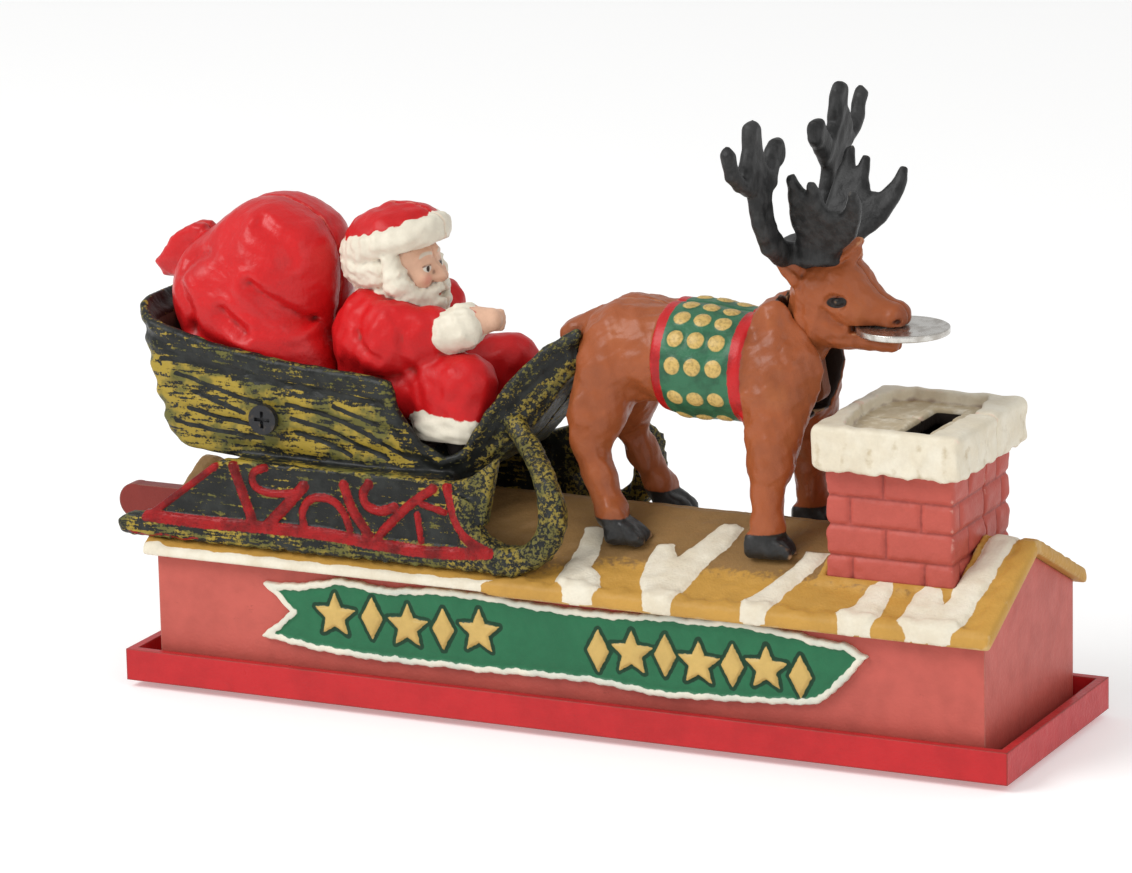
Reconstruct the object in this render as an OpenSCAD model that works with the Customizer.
// Mechanical coin bank: a sleigh and a reindeer on the roof of a house with a chimney.
// The tray's feet stand on z = 0, x runs along the tray towards the chimney, and the front is at -y.

/* [House and tray] */
// Length of the house walls
house_l = 238; // [230:1:290]
// Depth of the house walls
house_w = 61.6; // [58:0.2:75]
// Height of the eave above the tray's floor
eave_h = 34.4; // [32:0.2:42]
// Rise of the ridge above the eave
roof_rise = 17.1; // [13:0.1:21]
// Overhang of the roof past the front and rear walls
eave_over = 3.9; // [2:0.1:6]
// Overhang of the roof past the end walls
gable_over = 2.85; // [1:0.05:6]
// Thickness of the roof castings, measured upright
roof_t = 3.3; // [2.5:0.1:4]
// Thickness of the house walls
wall_t = 3; // [2:0.1:4]
// Room between the house and the tray's outer face at each end
tray_end = 8; // [6:0.5:14]
// Room between the house and the tray's outer face along each side
tray_side = 5.2; // [4:0.2:9]
// Height of the tray's side
tray_h = 8.6; // [6:0.2:12]
// Thickness of the tray's rim and floor
tray_t = 2.5; // [2:0.1:3.5]
// Height of the screw heads that serve as feet
foot_h = 2; // [2:0.1:3]
// Height of the raised pennants
relief_h = 0.8; // [0.4:0.1:1.2]

/* [Chimney] */
// Place of the chimney's middle along the house
chimney_x = 88.5; // [84:0.5:92]
// Length of the stack along the ridge
stack_l = 35; // [32:1:40]
// Depth of the stack across the ridge
stack_w = 39; // [36:1:42]
// Height of the stack above the ridge
stack_h = 19; // [14:1:22]
// Height of the snowy cap
cap_h = 12.5; // [9:0.5:14]
// Overhang of the cap past the stack, along the ridge
cap_over = 3; // [1.5:0.5:4]
// Overhang of the cap past the stack, across the ridge
cap_side = 4.5; // [2:0.5:6]
// Width of the coin slot
slot_w = 8; // [5:0.5:9]
// Length of the coin slot
slot_l = 26; // [25:0.5:30]

/* [Coin] */
// Diameter of the coin
coin_d = 24.26; // [18:0.01:26]
// Thickness of the coin
coin_t = 1.75; // [1.2:0.05:2.2]

/* [Mechanism] */
// How far the head nods, in degrees
nod = 24; // [16:1:26]
// How far the lever is pressed, in degrees
press = 15; // [12:1:18]
// Radius of the rocker's arms and of the neck plate's tail
rocker_arm = 10; // [9:0.1:11]
// Height of the push rod's middle above the floor
rod_z = 26; // [24:0.5:28]
// Diameter of the pivot pins
pivot_d = 4; // [3:0.1:4.5]
// Diameter of the pins in the push rod
rod_pin_d = 2.4; // [2:0.1:2.6]
// Diameter of the pins in the link
link_pin_d = 2; // [1.6:0.1:2.2]
// Height of the push rod
rod_h = 5; // [4:0.1:6]
// Width of the link
link_w = 3; // [2.5:0.1:3.4]
// Radial clearance of a running fit
run_gap = 0.05; // [0.02:0.01:0.08]
// Radial clearance of a pin pressed into its plate
press_gap = 0.02; // [0.01:0.01:0.03]
// Gap between castings that meet
seat_gap = 0.1; // [0.05:0.01:0.15]

/* [Screws and rivets] */
// Diameter of the four long base screws
base_screw_d = 4; // [3:0.1:5]
// Diameter of a base screw's head
base_head_d = 8; // [7:0.5:10]
// Diameter of the sleigh screw
sleigh_screw_d = 4; // [3:0.1:4.5]
// Diameter of the sleigh screw's head
sleigh_head_d = 8; // [7:0.5:9]
// Diameter of the rivets
rivet_d = 3; // [2:0.1:3.4]
// Diameter of the coin door's opening
trap_d = 30; // [28:0.5:32]

/* [Hidden] */
$fn = 48;
eps = 0.01;
tray_l = house_l + 2 * tray_end;
tray_w = house_w + 2 * tray_side;
floor_z = foot_h + tray_t;
eave_z = floor_z + eave_h;
ridge_z = eave_z + roof_rise;
roof_l = house_l + 2 * gable_over;
roof_w = house_w + 2 * eave_over;
slope = roof_rise / (roof_w / 2);
function roof_z(y) = ridge_z - slope * abs(y);

// Rims of the two castings that stand on the roof
runner_y = 30;
hoof_y = 15;
sleigh_x = -129;
sleigh_z = roof_z(runner_y) + 0.1;
deer_x = 55;
deer_z = roof_z(hoof_y);

// Base screws stand in bosses near the corners
boss_r = 5.5;
screw_x = house_l / 2 - 9;
screw_y = house_w / 2 - 8;
boss_top = eave_z - 5;
screw_top = boss_top + 6;
head_clear = 0.3;

// Lever, rod, rocker and link: equal and opposite swings about the middle of each stroke
nod_x = deer_x + 2;
nod_z = deer_z + 53.4;
plate_t = 4;
layer_gap = 0.3;
rod_t = 2;
half_nod = nod / 2;
half_press = press / 2;
lever_arm = rocker_arm * sin(half_nod) / sin(half_press);
rod_travel = 2 * rocker_arm * sin(half_nod);
lever_x = -house_l / 2 + 15;
lever_z = rod_z + lever_arm * cos(half_press);
lever_pin_x = lever_x - lever_arm * sin(half_press);
rocker_x = nod_x;
rocker_z = rod_z - rocker_arm * cos(half_nod);
rocker_rod_x = rocker_x - rocker_arm * sin(half_nod);
link_x = nod_x - rocker_arm * cos(half_nod);
link_low = rocker_z - rocker_arm * sin(half_nod);
link_high = nod_z - rocker_arm * sin(half_nod);
rod_sag = rocker_arm * (1 - cos(half_nod)) + 0.06;
rod_y = plate_t / 2 + layer_gap;
pin_head_t = 0.7;
tail_x = lever_x + 14;
tail_z = lever_z - 1.5;

// Coin between the jaws, in the frame of the head's pivot
coin_x = nod_x + 27.6;
coin_z = nod_z + 6.4;
mouth_gap = 0.1;

// Body halves leave room for the head between them
throat_y = 6.5;
hub_r = 6;

// The origin is under the middle of the whole bank, from the lever's tip to the tray's far end
lever_out = 28;
mid_x = (lever_out + house_l / 2 - tray_l / 2) / 2;

// ---------- shared shapes ----------

module home() {
  translate([mid_x, 0, 0]) children();
}

// Wall of the hollow half castings
shell_t = 3.4;

// Turns a flat outline drawn in x and z into a plate from y0 to y1
module plate_xz(y0, y1) {
  translate([0, y1, 0]) rotate([90, 0, 0]) linear_extrude(y1 - y0) children();
}

// Turns a flat outline drawn in y and z into a bar from x0 to x1
module bar_yz(x0, x1) {
  translate([x0, 0, 0]) rotate([90, 0, 90]) linear_extrude(x1 - x0) children();
}

// Round bar or hole along y
module pin_y(x, z, d, y0, y1) {
  translate([x, y1, z]) rotate([90, 0, 0]) cylinder(d = d, h = y1 - y0);
}

// Flat strip with round ends from a to b, each given as [x, z, r], between y0 and y1.
// Its straight sides end just inside the round ends.
module strip(a, b, y0, y1) {
  d = [b[0] - a[0], b[1] - a[1]];
  ta = a[2] * 0.97;
  tb = b[2] * 0.97;
  pin_y(a[0], a[1], 2 * a[2], y0, y1);
  pin_y(b[0], b[1], 2 * b[2], y0, y1);
  plate_xz(y0, y1) translate([a[0], a[1]]) rotate(atan2(d[1], d[0]))
    polygon([[0, ta], [norm(d), tb], [norm(d), -tb], [0, -ta]]);
}

// Slot through a plate for a pin that also shifts by extra to each side, along x (turn 0) or z (turn 90)
module eye_slot(x, z, d, extra, turn, y0, y1) {
  dx = extra * cos(turn);
  dz = extra * sin(turn);
  strip([x - dx, z - dz, d / 2], [x + dx, z + dz, d / 2], y0, y1);
}

module ball(p, r) {
  translate(p) sphere(r, $fn = 20);
}

// Smooth solid around two or more balls, each given as [x, y, z, r]
module blob(balls) {
  hull() for (b = balls) ball([b[0], b[1], b[2]], b[3]);
}

// The same solid smaller by the thickness of a casting's wall
module core(balls) {
  blob([for (b = balls) b - [0, 0, 0, shell_t]]);
}

// Keeps the near half (side = -1) or the far half (side = 1)
module half(side) {
  intersection() {
    children();
    translate([-300, side > 0 ? 0 : -100, -50]) cube([600, 100, 300]);
  }
}

module mirror_if(side) {
  mirror([0, side > 0 ? 1 : 0, 0]) children();
}

// Outline under the roof's upper faces, lowered by drop
module roof_outline(drop, low) {
  polygon([[-roof_w / 2, low], [roof_w / 2, low], [roof_w / 2, eave_z - drop],
    [0, ridge_z - drop], [-roof_w / 2, eave_z - drop]]);
}

module under_roof(drop) {
  bar_yz(-roof_l / 2 - 1, roof_l / 2 + 1) roof_outline(drop, -10);
}

// ---------- tray, screws and coin door ----------

door_x = -20;
door_r = trap_d / 2 + 3;
door_pivot_x = door_x + door_r + 3;
door_t = 1;
door_gap = 0.15;

module screw_spots() {
  for (sx = [-1, 1], sy = [-1, 1]) translate([sx * screw_x, sy * screw_y, 0]) children();
}

module base_tray() {
  color("firebrick") home() difference() {
    translate([-tray_l / 2, -tray_w / 2, foot_h]) cube([tray_l, tray_w, tray_h]);
    translate([-tray_l / 2 + tray_t, -tray_w / 2 + tray_t, floor_z]) cube([tray_l - 2 * tray_t, tray_w - 2 * tray_t, tray_h]);
    screw_spots() cylinder(d = base_screw_d + 2 * head_clear, h = 20);
    translate([door_x, 0, 0]) cylinder(d = trap_d, h = 20);
    translate([door_pivot_x, 0, 0]) cylinder(d = rivet_d + 2 * run_gap, h = 20);
    for (s = [-1, 1]) translate([rocker_x, s * bracket_rivet_y, 0]) cylinder(d = rivet_d + 2 * press_gap, h = 20);
  }
}

module base_screws() {
  color("silver") home() screw_spots() {
    cylinder(d1 = base_head_d - 2, d2 = base_head_d, h = 1);
    translate([0, 0, 1]) cylinder(d = base_head_d, h = foot_h - 1);
    translate([0, 0, foot_h - eps]) cylinder(d = base_screw_d, h = screw_top - foot_h);
  }
}

module trap_cover() {
  color("firebrick") home() translate([0, 0, foot_h - door_gap - door_t]) difference() {
    union() {
      translate([door_x, 0, 0]) cylinder(r = door_r, h = door_t);
      translate([door_x, -6, 0]) cube([door_pivot_x - door_x, 12, door_t]);
      translate([door_pivot_x, 0, 0]) cylinder(r = 6, h = door_t);
    }
    translate([door_pivot_x, 0, -1]) cylinder(d = rivet_d + 2 * run_gap, h = 4);
  }
}

module trap_screw() {
  color("silver") home() translate([door_pivot_x, 0, 0]) {
    translate([0, 0, 0.15]) cylinder(d = 2 * rivet_d, h = foot_h - 2 * door_gap - door_t - 0.15);
    translate([0, 0, 0.5]) cylinder(d = rivet_d, h = floor_z + 2.8);
  }
}

module trap_nut() {
  color("silver") home() translate([door_pivot_x, 0, floor_z]) difference() {
    cylinder(d = 6.4, h = 2.4, $fn = 6);
    translate([0, 0, -1]) cylinder(d = rivet_d + 2 * press_gap, h = 5);
  }
}

// ---------- house ----------

// Swallow-tailed pennant with a wavy edge, as a fraction of its length and height
pennant_l = 172;
pennant_h = 20;
module pennant() {
  left = [[0, 7], [8, 0], [-1, -7.5]];
  under = [for (i = [1:9]) [pennant_l * i * 0.091, -8.6 - 2 * sin(i * 36)]];
  over = [for (i = [9:-1:1]) [pennant_l * i * 0.1, 9.4 - 1.6 * sin(i * 80)]];
  polygon(concat(left, under, [[pennant_l - 15, -9], [pennant_l, 5.5]], over));
}

module house_shell() {
  inner_l = house_l - 2 * wall_t;
  inner_w = house_w - 2 * wall_t;
  ear_y = plate_t / 2 + layer_gap;
  color("indianred") home() difference() {
    union() {
      difference() {
        intersection() {
          translate([-house_l / 2, -house_w / 2, floor_z]) cube([house_l, house_w, 100]);
          under_roof(roof_t + seat_gap);
        }
        translate([-inner_l / 2, -inner_w / 2, 0]) cube([inner_l, inner_w, 100]);
      }
      screw_spots() translate([0, 0, floor_z]) cylinder(r = boss_r, h = boss_top - floor_z - seat_gap);
      for (s = [0, 1]) mirror([0, s, 0])
        strip([-house_l / 2 + wall_t / 2, lever_z, 4.5], [lever_x, lever_z, 4.5], ear_y, ear_y + 3);
      translate([-pennant_l / 2, -house_w / 2 + eps, floor_z + 20.5]) rotate([90, 0, 0]) linear_extrude(relief_h) pennant();
      translate([pennant_l / 2, house_w / 2 - eps, floor_z + 20.5]) rotate([90, 0, 180]) linear_extrude(relief_h) pennant();
    }
    screw_spots() cylinder(d = base_screw_d + 2 * head_clear, h = 60);
    translate([-house_l / 2 - 1, -ear_y, lever_z - 11]) cube([wall_t + 2, 2 * ear_y, 18]);
    pin_y(lever_x, lever_z, pivot_d + 2 * press_gap, -10, 10);
  }
}

// ---------- roof and chimney ----------

stack_top = ridge_z + stack_h;
cap_top = stack_top + cap_h;
stack_t = 3;
flange_z = roof_z(stack_w / 2 + 3) - roof_t - seat_gap;
slot_x = chimney_x + 4;
recess_depth = 3.5;
recess_in = 4;
course_h = 6.8;
groove = 0.7;

module chimney_hole(grow) {
  translate([chimney_x - stack_l / 2 - grow, -stack_w / 2 - grow, 0]) cube([stack_l + 2 * grow, stack_w + 2 * grow, 200]);
}

module roof_half(side) {
  collar = 2.5;
  color("goldenrod") home() half(side) difference() {
    union() {
      difference() {
        bar_yz(-roof_l / 2, roof_l / 2) roof_outline(0, 0);
        bar_yz(-roof_l / 2 - 1, roof_l / 2 + 1) roof_outline(roof_t, -30);
        translate([-roof_l, -roof_w, 0]) cube([2 * roof_l, 2 * roof_w, eave_z - roof_t]);
      }
      intersection() {
        under_roof(eps);
        screw_spots() translate([0, 0, boss_top]) cylinder(r = boss_r - 0.8, h = 20);
      }
      intersection() {
        under_roof(-1.5);
        difference() {
          chimney_hole(collar);
          under_roof(roof_t / 2);
        }
      }
    }
    chimney_hole(seat_gap);
    screw_spots() translate([0, 0, boss_top - 1]) cylinder(d = base_screw_d + 2 * run_gap, h = screw_top - boss_top + 1.5);
    translate([link_x - 3, -rod_y - rod_t - 1, eave_z]) cube([6, rod_t + 2, 40]);
    for (x = [sleigh_x + peg_a, sleigh_x + peg_b], s = [-1, 1]) translate([x, s * runner_y, 0]) cylinder(d = peg_d + 2 * press_gap, h = 80);
    for (x = [hoof_rear_x, hoof_front_x], s = [-1, 1]) translate([x, s * hoof_y, 0]) cylinder(d = peg_d + 2 * press_gap, h = 80);
  }
}

module roof_front() roof_half(-1);
module roof_back() roof_half(1);

// Mortar lines cut into the four faces of the stack
module mortar() {
  deep = 0.6;
  for (i = [0:4]) {
    z = stack_top - course_h * i;
    difference() {
      translate([chimney_x - stack_l / 2 - 1, -stack_w / 2 - 1, z - groove / 2]) cube([stack_l + 2, stack_w + 2, groove]);
      translate([chimney_x - stack_l / 2 + deep, -stack_w / 2 + deep, z - groove]) cube([stack_l - 2 * deep, stack_w - 2 * deep, 2 * groove]);
    }
    shift = (i % 2) * stack_l / 6;
    for (k = [-1:1], s = [-1, 1]) {
      translate([chimney_x + k * stack_l / 3 + shift, s * (stack_w / 2 - deep) - (s < 0 ? 1 : 0), z - course_h]) cube([groove, 1, course_h]);
    }
  }
}

module chimney_half(side) {
  color("indianred") home() half(side) difference() {
    union() {
      translate([chimney_x - stack_l / 2, -stack_w / 2, flange_z - 3]) cube([stack_l, stack_w, stack_top - flange_z + 3]);
      translate([chimney_x - stack_l / 2 + 4, -stack_w / 2 - 3, flange_z - 3]) cube([stack_l - 8, stack_w + 6, 3]);
      translate([chimney_x - stack_l / 2 - cap_over, -stack_w / 2 - cap_side, stack_top]) cube([stack_l + 2 * cap_over, stack_w + 2 * cap_side, cap_h]);
    }
    intersection() {
      mortar();
      translate([-300, -100, ridge_z - 12]) cube([600, 200, stack_h + 12 - eps]);
    }
    translate([chimney_x - stack_l / 2 + stack_t, -stack_w / 2 + stack_t, 0]) cube([stack_l - 2 * stack_t, stack_w - 2 * stack_t, stack_top]);
    translate([chimney_x - stack_l / 2 - cap_over + recess_in, -stack_w / 2 - cap_side + recess_in, cap_top - recess_depth])
      cube([stack_l + 2 * cap_over - 2 * recess_in - 2, stack_w + 2 * cap_side - 2 * recess_in, 20]);
    translate([slot_x - slot_w / 2, -slot_l / 2, stack_top - 5]) cube([slot_w, slot_l, 40]);
  }
}

module chimney_front() chimney_half(-1);
module chimney_back() chimney_half(1);

// ---------- sleigh, drawn from the rear end of the runner ----------

rim_y = 26;
hull_t = 3;
tub_floor = 25.4;
curl_x = 115;
curl_r = 16.6;
curl_hole = 7.6;
runner_t = 5.5;
peg_d = 3.5;
peg_a = 20;
peg_b = 96;
bolt_x = 41.5;
bolt_z = 34.3;

module sleigh_frame() {
  translate([sleigh_x, 0, sleigh_z]) children();
}

module hull_side() {
  polygon([[0, 60], [7, 56.7], [27, 51.7], [48, 48.7], [73, 46.7], [78, 47], [79.5, 39], [85, 30], [92, 25.5],
    [98, 28], [104, 38], [110, 47], [118, 55.5], [128, 61.5], [132, 62.5], [131, 58], [124, 50], [118, 41], [111, 32],
    [104, 25], [97, 21], [90, 19.7], [72, 18.7], [54, 20.7], [26, 22.7], [16, 23.7], [10, 27.7], [9.5, 33.7], [6, 43.7], [2, 53.7]]);
}

module hull_plan(inset) {
  r = 14 - inset;
  polygon(concat([[-1 + inset, 0]],
    [for (a = [180:15:270]) [13 + r * cos(a), -rim_y + 14 + r * sin(a)]],
    [[80, -rim_y + inset], [94, -23 + inset], [106, -18 + inset], [118, -12], [134, -9], [134, 0]]));
}

module hull_room() {
  polygon([[3.5, 70], [6, 52], [10, 42], [13, 34], [14, 28], [28, tub_floor + 0.8], [60, tub_floor - 0.6], [88, tub_floor - 1], [84, 36], [81, 70]]);
}

module runner_side() {
  difference() {
    union() {
      polygon([[-1, 3.2], [0, 0], [curl_x, 0], [curl_x, 6.4], [6, 6.4]]);
      polygon([[31, 23.2], [8, 6.2], [110, 5.6], [97.5, 22]]);
      translate([curl_x, curl_r]) circle(curl_r);
      polygon([[curl_x + curl_r, 16], [130.4, 27], [126, 37], [120, 43.5], [114, 36], [119, 28], [121, 20]]);
      polygon([[96, 21.8], [104, 24.5], [112, 30], [108, 12]]);
    }
    translate([curl_x, curl_r]) circle(curl_hole);
  }
}

module sleigh_half(side) {
  color("darkolivegreen") home() mirror_if(side) difference() {
    sleigh_frame() {
      difference() {
        intersection() {
          plate_xz(-rim_y, 0) hull_side();
          translate([0, 0, 10]) linear_extrude(60) hull_plan(0);
        }
        intersection() {
          plate_xz(-rim_y, 1) hull_room();
          translate([0, 1, 10]) linear_extrude(70) hull_plan(hull_t);
        }
        pin_y(bolt_x, bolt_z, sleigh_screw_d + 2 * run_gap, -40, 10);
      }
      plate_xz(-runner_y - runner_t / 2, -runner_y + runner_t / 2) runner_side();
      translate([33, -runner_y, 19.5]) cube([62, runner_y - rim_y + 5, 3.4]);
      for (x = [peg_a, peg_b]) translate([x, -runner_y, -2.6]) cylinder(d = peg_d, h = 6);
    }
    difference() {
      under_roof(-seat_gap);
      translate([sleigh_x, 0, 0]) for (x = [peg_a, peg_b]) translate([x, -runner_y, 0]) cylinder(d = peg_d, h = 80);
    }
    deer_frame() {
      blob([rump + [0, 0, 0, 0.4], rump + [8, 0, 0, 0.4]]);
      blob([thigh + [0, 0, 0, 0.4], hock + [0, 0, 0, 0.4]]);
    }
  }
}

module sleigh_near() sleigh_half(-1);
module sleigh_far() sleigh_half(1);

module sleigh_screw() {
  color("black") home() sleigh_frame() difference() {
    union() {
      pin_y(bolt_x, bolt_z, sleigh_head_d, -rim_y - 1.8, -rim_y);
      pin_y(bolt_x, bolt_z, sleigh_screw_d, -rim_y - 1, rim_y + 3);
    }
    for (a = [0, 90]) translate([bolt_x, -rim_y - 1.8, bolt_z]) rotate([0, a, 0]) cube([4.6, 2, 1], center = true);
  }
}

module sleigh_nut() {
  color("black") home() sleigh_frame() difference() {
    translate([bolt_x, rim_y + 2.6, bolt_z]) rotate([90, 0, 0]) cylinder(d = 8, h = 2.6, $fn = 6);
    pin_y(bolt_x, bolt_z, sleigh_screw_d + 2 * press_gap, 0, 40);
  }
}

// ---------- sack and driver, seated in the tub ----------

sack_balls = [[23, -4, 62, 16.5], [33.5, -2, 70, 18], [35, -8, 51, 13], [25, -9, 48, 12], [26, -8, 35.4, 8.4]];

module sack_half(side) {
  color("red") home() mirror_if(side) sleigh_frame() half(-1) difference() {
    union() {
      blob(sack_balls);
      blob([[12, 0, 75, 4.5], [4, 0, 72, 3]]);
    }
    core(sack_balls);
  }
}

module sack_near() sack_half(-1);
module sack_far() sack_half(1);

driver_trunk = [[66, -6.5, 35, 9.4], [65, -5, 54, 11]];
driver_head = [[68.5, 0, 74, 13], [68, 0, 76.5, 13.3]];

module driver_half(side) {
  color("crimson") home() mirror_if(side) sleigh_frame() half(-1) difference() {
    union() {
      blob(driver_trunk);
      blob([[64, -13, 54, 6], [71, -16, 50, 5.5]]);
      blob([[71, -16, 50, 5.5], [86, -11, 54, 5]]);
      blob([[88, -10, 54.5, 6.3], [91, -9.5, 57, 6]]);
      blob([[97, -8, 60.5, 5], [101, -7, 61.5, 3]]);
      blob([[68, -8, 38, 8], [96, -13, 46, 7.5]]);
      blob([[96, -13, 46, 7.5], [91.5, -13, 33.4, 6.1]]);
      blob(driver_head);
      blob([[79, 0, 68, 7], [77, 0, 64, 7]]);
    }
    core(driver_trunk);
    core(driver_head);
  }
}

module driver_near() driver_half(-1);
module driver_far() driver_half(1);

// ---------- reindeer body, drawn from the middle of the front hoof ----------

hoof_rear_x = deer_x - 40;
hoof_front_x = deer_x;
rivet_x = -25;
rivet_z = 40;

// Rump, loin, thigh and hock, each a ball given as [x, y, z, r]
rump = [-46, -2.5, 49.6, 12.8];
loin = [-25, -2.5, 47.5, 13];
thigh = [-50, -8, 42, 8];
hock = [-54, -12, 24, 4.2];

module deer_frame() {
  translate([deer_x, 0, deer_z]) children();
}

module hoof(x0, x1, h) {
  plate_xz(-hoof_y - 4, -hoof_y + 4) polygon([[x0, -2], [x1, -2], [x1, 1.5], [x1 - 3, h - 1.5], [x1 - 6, h], [x0 + 0.5, h]]);
}

module deer_half(side) {
  color("sienna") home() mirror_if(side) difference() {
    deer_frame() {
      half(-1) {
        difference() {
          blob([rump, loin, [-3, -2.5, 46.5, 13]]);
          core([rump, loin]);
        }
        blob([[-1, -2.5, 52, 10], [-3.2, -4, 60, 6]]);
        blob([thigh, hock]);
      }
      blob([hock, [-44, -hoof_y, 8, 4]]);
      blob([[-1, -9.5, 38, 8], [-2, -hoof_y + 1.5, 24, 5.4], [-2, -hoof_y, 8, 4.4]]);
      hoof(-46.5, -33, 7);
      hoof(-8, 7.5, 7.5);
      for (x = [-40, 0]) translate([x, -hoof_y, -4]) cylinder(d = peg_d, h = 6);
      half(-1) translate([nod_x - deer_x, -throat_y - 5.5, nod_z - deer_z]) rotate([-90, 0, 0]) cylinder(r = 6, h = 4);
    }
    difference() {
      under_roof(-seat_gap);
      for (x = [hoof_rear_x, hoof_front_x]) translate([x, -hoof_y, 0]) cylinder(d = peg_d, h = 80);
    }
    translate([nod_x, 0, nod_z]) plate_xz(-throat_y, 1)
      polygon([[-3.5, 40], [-4.5, 8], [-15, 5.2], [-15, -8], [-6, -16.5], [3, -17], [30, -17], [30, 40]]);
    translate([link_x - 3, -rod_y - rod_t - 0.6, deer_z + 20]) cube([6, 10, 30]);
    pin_y(nod_x, nod_z, rivet_d + 2 * run_gap, -30, 10);
    pin_y(deer_x + rivet_x, deer_z + rivet_z, rivet_d + 2 * press_gap, -30, 10);
  }
}

module deer_near() deer_half(-1);
module deer_far() deer_half(1);

module body_rivet() {
  color("goldenrod") home() pin_y(deer_x + rivet_x, deer_z + rivet_z, rivet_d, -14, 14);
}

module neck_pin() {
  color("sienna") home() pin_y(nod_x, nod_z, rivet_d, -throat_y - 5.5, throat_y + 5.5);
}

// ---------- head, drawn from the pivot in the neck ----------

head_rivet_x = 9;
head_rivet_z = 11;

module neck_shape(grow, y0, y1) {
  hub = [0, 0, hub_r - 1.5 + grow];
  strip(hub, [link_x - nod_x, link_high - nod_z, 2.6 + grow], y0, y1);
  strip(hub, [head_rivet_x, head_rivet_z, 4 + grow], y0, y1);
  strip(hub, [3.5, -11.5, 3 + grow], y0, y1);
}

module neck_frame() {
  translate([nod_x, 0, nod_z]) children();
}

module neck_plate() {
  color("dimgray") home() difference() {
    neck_frame() neck_shape(0, -plate_t / 2, plate_t / 2);
    pin_y(nod_x, nod_z, rivet_d + 2 * run_gap, -10, 10);
    pin_y(nod_x + head_rivet_x, nod_z + head_rivet_z, rivet_d + 2 * press_gap, -10, 10);
    pin_y(link_x, link_high, link_pin_d + 2 * press_gap, -10, 10);
  }
}

module head_half(side) {
  color("sienna") home() mirror_if(side) difference() {
    neck_frame() half(-1) {
      blob([[0, 0, 0, hub_r], [5.5, -0.8, 11, 5.6]]);
      blob([[6.5, -2, 14.5, 7], [15, -1, 10, 5.6], [14, -1.5, 18, 4]]);
      blob([[15, -1, 12, 5.4], [26, -1, 9.8, 4.2]]);
      blob([[7, -1, 5.5, 4.6], [25.5, -0.8, 3.2, 2.4]]);
      blob([[0.5, -6, 20, 2.6], [-3, -8.5, 23.5, 1.4]]);
      blob([[8, 0, 19, 6], [14, 0, 26.5, 2]]);
    }
    neck_frame() neck_shape(0.15, -plate_t / 2 - press_gap, 1);
    neck_frame() plate_xz(-20, 1) polygon([[15, coin_z - nod_z + coin_t / 2 + mouth_gap], [40, coin_z - nod_z + coin_t / 2 + mouth_gap],
      [40, coin_z - nod_z - coin_t / 2 - mouth_gap], [24, coin_z - nod_z - coin_t / 2 - mouth_gap], [20, 2.8], [15, coin_z - nod_z - coin_t / 2 - mouth_gap]]);
    pin_y(nod_x, nod_z, rivet_d + 2 * run_gap, -20, 10);
    pin_y(nod_x + head_rivet_x, nod_z + head_rivet_z, rivet_d + 2 * press_gap, -6, 10);
    antler_shape(seat_gap);
  }
}

module head_near() head_half(-1);
module head_far() head_half(1);

module head_rivet() {
  color("dimgray") home() pin_y(nod_x + head_rivet_x, nod_z + head_rivet_z, rivet_d, -5.8, 5.8);
}

module pin_head(x, z, d, side) {
  y = side * (rod_y + rod_t + 0.1);
  pin_y(x, z, d + 1.6, min(y, y + side * pin_head_t), max(y, y + side * pin_head_t));
}

module neck_link_pin() {
  color("silver") home() {
    pin_y(link_x, link_high, link_pin_d, -rod_y - rod_t - 0.2, plate_t / 2);
    pin_head(link_x, link_high, link_pin_d, -1);
  }
}

// ---------- antlers: two beams with palms and two brow palms on one block ----------

antler_x = 6;
antler_z = 22;
beam_t = 4;
beam_x = -9.5;
brow_lean = 32;

module beam_palm() {
  polygon([[2, -2], [12, 1], [20, 6], [26, 14], [29, 22], [36, 25], [41.5, 29], [44.5, 36], [42.5, 38.5], [40, 36.5],
    [38.5, 31.5], [34, 29], [31.5, 35], [30.5, 41], [27, 42.5], [24.5, 40], [23.5, 32], [20, 29], [14.5, 35], [10.5, 34.5],
    [10, 29], [15, 24], [18.5, 20], [17.5, 15], [12, 9], [4, 6]]);
}

module brow_palm() {
  polygon([[-2, -2], [5, -2], [9, 4], [15, 11], [18, 20], [17.5, 25], [15, 24], [13, 18], [9, 19], [7, 24],
    [6, 31.5], [3, 32], [0.5, 26], [-1.5, 16], [-3, 6]]);
}

// The whole antler casting, grown on all sides when it is cut from the head as a seat
module antler_shape(grow) {
  neck_frame() translate([antler_x, 0, antler_z]) {
    difference() {
      union() {
        translate([0, 0, 1.2]) sphere(8 + grow, $fn = 32);
        translate([beam_x + beam_t / 2, 0, 0.6]) sphere(6.5 + grow, $fn = 32);
      }
      translate([-20, -10, -20]) cube([40, 20, 20.6 - grow]);
    }
    translate([-3 - grow, -plate_t / 2 - grow, -4.8 - grow]) cube([6 + 2 * grow, plate_t + 2 * grow, 8]);
    for (s = [0, 1]) mirror([0, s, 0]) {
      bar_yz(beam_x - grow, beam_x + beam_t + grow) offset(delta = grow) beam_palm();
      translate([-1.5, 3, 3]) rotate([-brow_lean, 0, 0]) plate_xz(-grow, 3 + grow) offset(delta = grow) brow_palm();
    }
  }
}

module antlers() {
  color("darkslategray") home() antler_shape(0);
}

module coin() {
  color("lightgray") home() translate([coin_x, 0, coin_z - coin_t / 2]) cylinder(d = coin_d, h = coin_t, $fn = 96);
}

// ---------- lever, rod, rocker and link ----------

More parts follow.
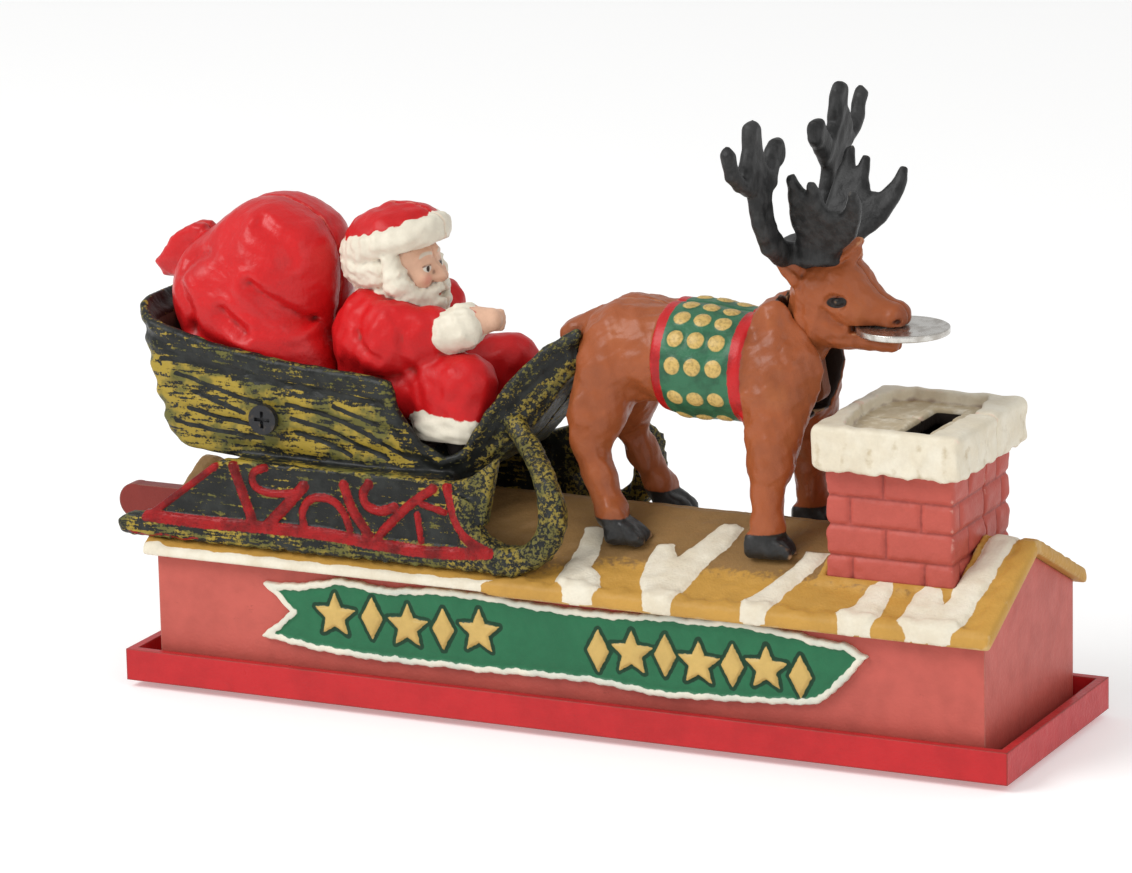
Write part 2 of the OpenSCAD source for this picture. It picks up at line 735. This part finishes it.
module lever() {
  hub = [lever_x, lever_z, 5];
  color("indianred") home() difference() {
    union() {
      strip(hub, [-house_l / 2 - lever_out + 5, lever_z, 5], -plate_t / 2, plate_t / 2);
      strip(hub, [tail_x, tail_z, 3.6], -plate_t / 2, plate_t / 2);
      strip(hub, [lever_pin_x, rod_z, 3.2], -plate_t / 2, plate_t / 2);
    }
    pin_y(lever_x, lever_z, pivot_d + 2 * run_gap, -10, 10);
    pin_y(lever_pin_x, rod_z, rod_pin_d + 2 * press_gap, -10, 10);
    pin_y(tail_x, tail_z, 4, -10, 10);
  }
}

module lever_pin() {
  color("silver") home() pin_y(lever_x, lever_z, pivot_d, -rod_y - 3.6, rod_y + 3.6);
}

module rod_pin(x) {
  color("silver") home() {
    pin_y(x, rod_z, rod_pin_d, -plate_t / 2, rod_y + rod_t + 0.2);
    pin_head(x, rod_z, rod_pin_d, 1);
  }
}

module lever_rod_pin() rod_pin(lever_pin_x);
module rocker_rod_pin() rod_pin(rocker_rod_x);

module push_rod() {
  color("silver") home() difference() {
    union() {
      strip([lever_pin_x, rod_z, rod_h / 2], [rocker_rod_x, rod_z, rod_h / 2], rod_y, rod_y + rod_t);
      for (x = [lever_pin_x, rocker_rod_x]) pin_y(x, rod_z, 6.8, rod_y, rod_y + rod_t);
    }
    for (x = [lever_pin_x, rocker_rod_x]) eye_slot(x, rod_z, rod_pin_d + 0.16, rod_sag, 90, 0, 10);
  }
}

module rocker() {
  color("silver") home() difference() {
    union() {
      strip([rocker_x, rocker_z, 4.2], [rocker_rod_x, rod_z, 3.2], -plate_t / 2, plate_t / 2);
      strip([rocker_x, rocker_z, 4.2], [link_x, link_low, 2.8], -plate_t / 2, plate_t / 2);
    }
    pin_y(rocker_x, rocker_z, pivot_d + 2 * run_gap, -10, 10);
    pin_y(rocker_rod_x, rod_z, rod_pin_d + 2 * press_gap, -10, 10);
    pin_y(link_x, link_low, link_pin_d + 2 * press_gap, -10, 10);
  }
}

ear_in = 5.6;
ear_t = 1.5;
bracket_rivet_y = 11;

module rocker_pin() {
  color("silver") home() pin_y(rocker_x, rocker_z, pivot_d, -ear_in - ear_t - 0.4, ear_in + ear_t + 0.4);
}

module rocker_link_pin() {
  color("silver") home() {
    pin_y(link_x, link_low, link_pin_d, -rod_y - rod_t - 0.2, plate_t / 2);
    pin_head(link_x, link_low, link_pin_d, -1);
  }
}

module rocker_bracket() {
  color("gray") home() difference() {
    union() {
      translate([rocker_x - 5, -bracket_rivet_y - 3, floor_z]) cube([10, 2 * bracket_rivet_y + 6, ear_t]);
      for (s = [0, 1]) mirror([0, s, 0])
        strip([rocker_x, rocker_z, 5], [rocker_x, floor_z + 5, 5], ear_in, ear_in + ear_t);
    }
    pin_y(rocker_x, rocker_z, pivot_d + 2 * press_gap, -20, 20);
    for (s = [-1, 1]) translate([rocker_x, s * bracket_rivet_y, 0]) cylinder(d = rivet_d + 2 * press_gap, h = 20);
  }
}

module bracket_rivets() {
  color("silver") home() for (s = [-1, 1]) translate([rocker_x, s * bracket_rivet_y, 0]) {
    translate([0, 0, foot_h]) cylinder(d = rivet_d, h = tray_t + ear_t + 0.5);
    translate([0, 0, floor_z + ear_t]) cylinder(d = 5, h = 1);
  }
}

module link() {
  color("silver") home() difference() {
    union() {
      strip([link_x, link_low, link_w / 2], [link_x, link_high, link_w / 2], -rod_y - rod_t, -rod_y);
      for (z = [link_low, link_high]) pin_y(link_x, z, 4.8, -rod_y - rod_t, -rod_y);
    }
    for (z = [link_low, link_high]) eye_slot(link_x, z, link_pin_d + 0.16, rod_sag, 0, -10, 0);
  }
}

// ---------- return spring and its post ----------

spring_r = 1.6;
wire_r = 0.4;
spring_turns = 12;
hook_r = 2.9;
post_hole_z = floor_z + 4.5;
coil_low = post_hole_z + hook_r + 3;
coil_high = tail_z - hook_r - 3;

spring_path = concat(
  [for (a = [150:30:360]) [0, hook_r * sin(a), post_hole_z + hook_r - 0.2 - hook_r * cos(a) * -1]],
  [for (i = [0:spring_turns * 12]) [spring_r * sin(i * 30), spring_r * cos(i * 30), coil_low + (coil_high - coil_low) * i / (spring_turns * 12)]],
  [for (a = [180:30:390]) [0, hook_r * sin(a), tail_z - hook_r + 0.2 + hook_r * cos(a)]]);

// Tube along a path, with sides that follow the path's direction
function unit(v) = v / norm(v);
function heading(path, i) = unit(path[min(i + 1, len(path) - 1)] - path[max(i - 1, 0)]);
function side_axis(h) = unit(cross(h, abs(h[2]) > 0.9 ? [1, 0, 0] : [0, 0, 1]));
function ring(path, i, r, n) = let (h = heading(path, i), u = side_axis(h), v = cross(h, u))
  [for (k = [0:n - 1]) path[i] + r * (cos(360 * k / n) * u + sin(360 * k / n) * v)];

module tube(path, r, n) {
  m = len(path);
  points = [for (i = [0:m - 1]) each ring(path, i, r, n)];
  sides = [for (i = [0:m - 2], k = [0:n - 1]) [i * n + k, (i + 1) * n + k, (i + 1) * n + (k + 1) % n, i * n + (k + 1) % n]];
  polyhedron(points, concat(sides, [[for (k = [0:n - 1]) k]], [[for (k = [n - 1:-1:0]) (m - 1) * n + k]]), convexity = 10);
}

module return_spring() {
  color("silver") home() translate([tail_x, 0, 0]) tube(spring_path, wire_r, 6);
}

module spring_post() {
  color("gray") home() difference() {
    union() {
      pin_y(tail_x, post_hole_z, 7.2, -plate_t / 2, plate_t / 2);
      translate([tail_x - 3.6, -plate_t / 2, floor_z]) cube([7.2, plate_t, 4.5]);
      translate([tail_x - 6, -5, floor_z]) cube([12, 10, 1.5]);
    }
    pin_y(tail_x, post_hole_z, 4, -10, 10);
  }
}

base_tray();
base_screws();
trap_cover();
trap_screw();
trap_nut();
house_shell();
roof_front();
roof_back();
chimney_front();
chimney_back();
sleigh_near();
sleigh_far();
sleigh_screw();
sleigh_nut();
sack_near();
sack_far();
driver_near();
driver_far();
deer_near();
deer_far();
body_rivet();
neck_pin();
head_near();
head_far();
neck_plate();
head_rivet();
neck_link_pin();
antlers();
coin();
lever();
lever_pin();
lever_rod_pin();
push_rod();
rocker();
rocker_pin();
rocker_rod_pin();
rocker_link_pin();
rocker_bracket();
bracket_rivets();
link();
return_spring();
spring_post();
